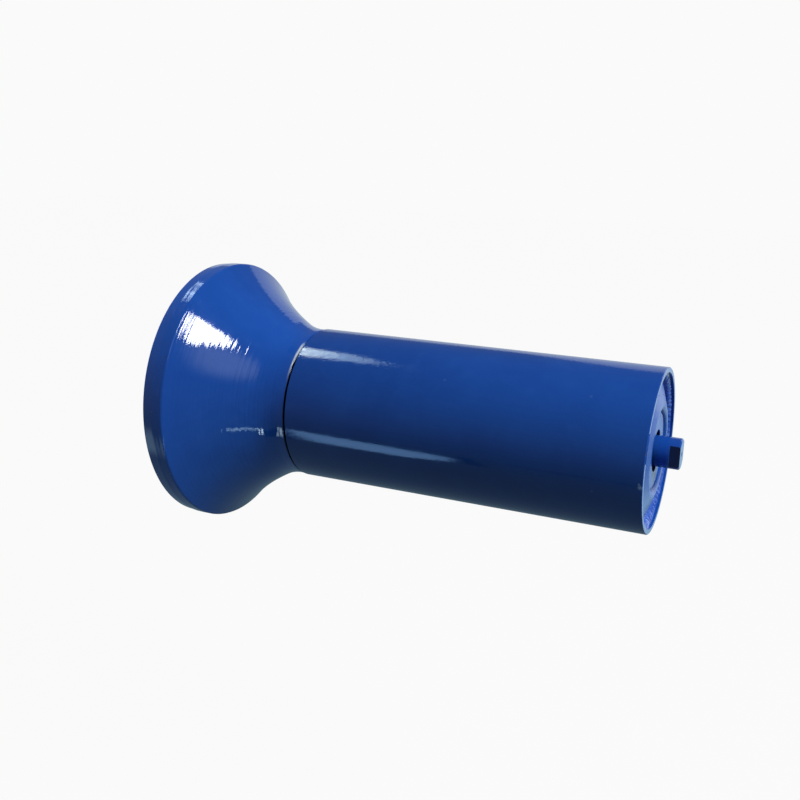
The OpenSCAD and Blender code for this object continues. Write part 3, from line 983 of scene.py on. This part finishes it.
def spatter(shape):
    # small drops thrown on the plate beside the bead, each half sunk in it
    given, seeds = shape.given, beadShape["seeds"]
    index = shape.add("GeometryNodeInputIndex")

    def random(low, high, seed):
        return shape.add("FunctionNodeRandomValue", {2: low, 3: high, 7: index, 8: seed}, out=1)

    away = random(given["Spatter Near"], given["Spatter Far"], seeds["away"])
    angle = random(0.0, fullTurn, seeds["angle"])
    radius = given["Wall Radius"] - away
    x = given["Plate X"] + given["Plate Rise"] * (away - given["Rise From"])
    place = shape.vector(x, radius * shape.sum("COSINE", angle), radius * shape.sum("SINE", angle))
    points = shape.add("GeometryNodePoints", {"Count": given["Spatter"], "Position": place})
    sockets = {"Radius": 1.0, "Subdivisions": beadShape["dropRounds"]}
    drop = shape.add("GeometryNodeMeshIcoSphere", sockets)
    size = random(given["Spatter Small"], given["Spatter Large"], seeds["size"])
    flat = size * beadShape["dropFlat"]
    sockets = {"Points": points, "Instance": drop, "Scale": shape.vector(flat, size, size)}
    return shape.add("GeometryNodeInstanceOnPoints", sockets)


def beadRows(look, outline, back, wallRadius, side):
    # outline: the free face from the wall to the plate, as (out of the plate, away from the wall)
    rows = []
    for i, (out, away, normalOut, normalAway) in enumerate(outline):
        place = 2.0 * i / (len(outline) - 1) - 1.0
        weight = min(1.0, look["endFade"] * (1.0 - abs(place)))
        rows.append((out, away, place, normalOut, normalAway, weight))
    rows += [(out, away, 1.0, 0.0, 0.0, 0.0) for out, away in back]
    return [(side * (look["plateX"] + out), wallRadius - away, place, side * normalOut, -normalAway, weight)
            for out, away, place, normalOut, normalAway, weight in rows]


def filletOutline(look, plateRises):
    # a quarter round in the corner, from just inside the wall to just inside the plate
    leg, sunk = look["leg"], look["sunk"]
    end = math.radians(look["coneEnd"]) if plateRises else math.acos(-sunk / leg)
    start = -math.asin(sunk / leg)
    turns = [start + (end - start) * i / (look["rows"] - 1) for i in range(look["rows"])]
    return [(leg * math.cos(turn), leg * math.sin(turn), math.cos(turn), math.sin(turn))
            for turn in turns]


def crownOutline(look):
    # a low arch over the joint between two level faces
    height, half = look["crownHeight"], look["crownHalf"]
    radius = (height * height + half * half) / (2 * height)
    reach = math.asin(half / radius) * look["crownReach"]
    turns = [reach * (2 * i / (look["rows"] - 1) - 1) for i in range(look["rows"])]
    return [(radius * math.cos(turn) - radius + height, look["crownOff"] + radius * math.sin(turn),
             math.cos(turn), math.sin(turn)) for turn in turns]


def grooveBack(look):
    # the hidden side in the groove between the housing's bent rim and the wall
    bend, sunk = look["bend"], look["sunk"]
    inside = bend - sunk
    turns = [math.radians(degrees) for degrees in look["bendTurns"]]
    rows = [(inside * math.sin(turn) - bend, bend - inside * math.cos(turn)) for turn in turns]
    return rows + [(-look["bendFoot"] * bend, -sunk)]


def makeBead(name, body, outline, back, wallRadius, side, rise, replaced):
    # side is 1 at the plain end and -1 at the wide end, and rise the slope of the plate
    look = beadShape
    count = round(fullTurn * wallRadius / look["pitch"])
    inputs = {"Ripples": count, "Steps": count * look["stepsPerRipple"], "Wall Radius": wallRadius,
              "Plate X": side * look["plateX"], "Plate Rise": side * rise, "Rise From": look["coneFrom"]}
    shape = Shape(name, {**look["inputs"], **inputs})
    both = shape.joined(shape.turnedRound(ripples), spatter(shape))
    bead = shape.piece(beadRows(look, outline, back, wallRadius, side), both, finishes["weld"])
    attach(bead, body)
    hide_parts(replaced)
    return bead


sunk = beadShape["sunk"]
groove = grooveBack(beadShape)
beads = {
    "plainEndBead": {
        "body": "tube",
        "outline": filletOutline(beadShape, True),
        "back": groove,
        "wallRadius": beadShape["tubeBore"],
        "side": 1.0,
        "rise": beadShape["coneSlope"],
        "replaced": "plain_end_housing_weld",
    },
    "bellEndBead": {
        "body": "bell",
        "outline": crownOutline(beadShape),
        "back": groove + [beadShape["crownFoot"]],
        "wallRadius": beadShape["tubeBore"],
        "side": -1.0,
        "rise": 0.0,
        "replaced": "bell_end_housing_weld",
    },
    "discBead": {
        "body": "bell",
        "outline": filletOutline(beadShape, False),
        "back": [(-sunk, -sunk)],
        "wallRadius": rimRadius - bellShape["rimWall"],
        "side": -1.0,
        "rise": 0.0,
        "replaced": "bell_disc_weld",
    },
}
beadsMade = {name: makeBead(name, **settings) for name, settings in beads.items()}
print("bell and weld beads ready")


# ---- What each lamp lights, and what mirrors each panel

wideEnd = [item for name, item in cadNodes.items() if name.startswith("bell_end")]
wideEnd += [cadNodes["bell_disc"], beadsMade["bellEndBead"], beadsMade["discBead"]]
receivers = {"bell": [turnedBell], "tube": [cadNodes["tube"]], "wideEnd": wideEnd}
for light, name in lightsMade:
    if name:
        group = bpy.data.collections.new(light.name + "Target")
        for item in receivers[name]:
            group.objects.link(item)
        light.light_linking.receiver_collection = group
